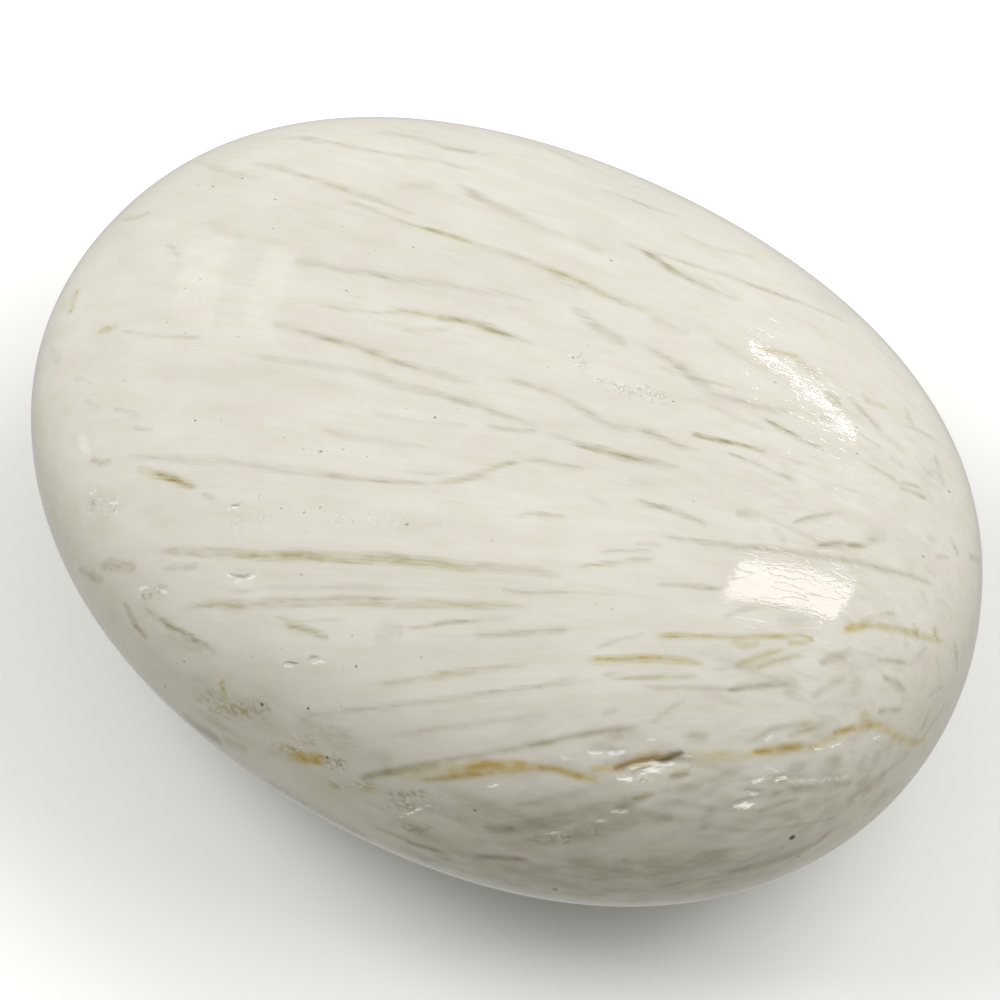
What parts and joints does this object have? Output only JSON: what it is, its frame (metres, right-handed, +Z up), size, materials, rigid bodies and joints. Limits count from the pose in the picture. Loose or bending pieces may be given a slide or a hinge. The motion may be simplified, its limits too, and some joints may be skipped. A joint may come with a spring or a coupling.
{
  "type": "scolecite palm stone",
  "caption": "Polished oval pebble of white fibrous stone, shaped to lie in a palm, with a small worn flat underneath to rest on.",
  "frame": {"origin": "middle of the stone's box in plan, at the level of the flat it rests on", "axes": "+X along the stone's length towards its fuller end, +Y across its width, +Z up from the flat through the crown"},
  "size_m": [0.0656, 0.0502, 0.0234],
  "materials": {
    "polished_scolecite": "polished, milky white with grey-olive and ochre streaks"
  },
  "bodies": {
    "root": {"palm_stone": "polished_scolecite"}
  },
  "joints": []
}
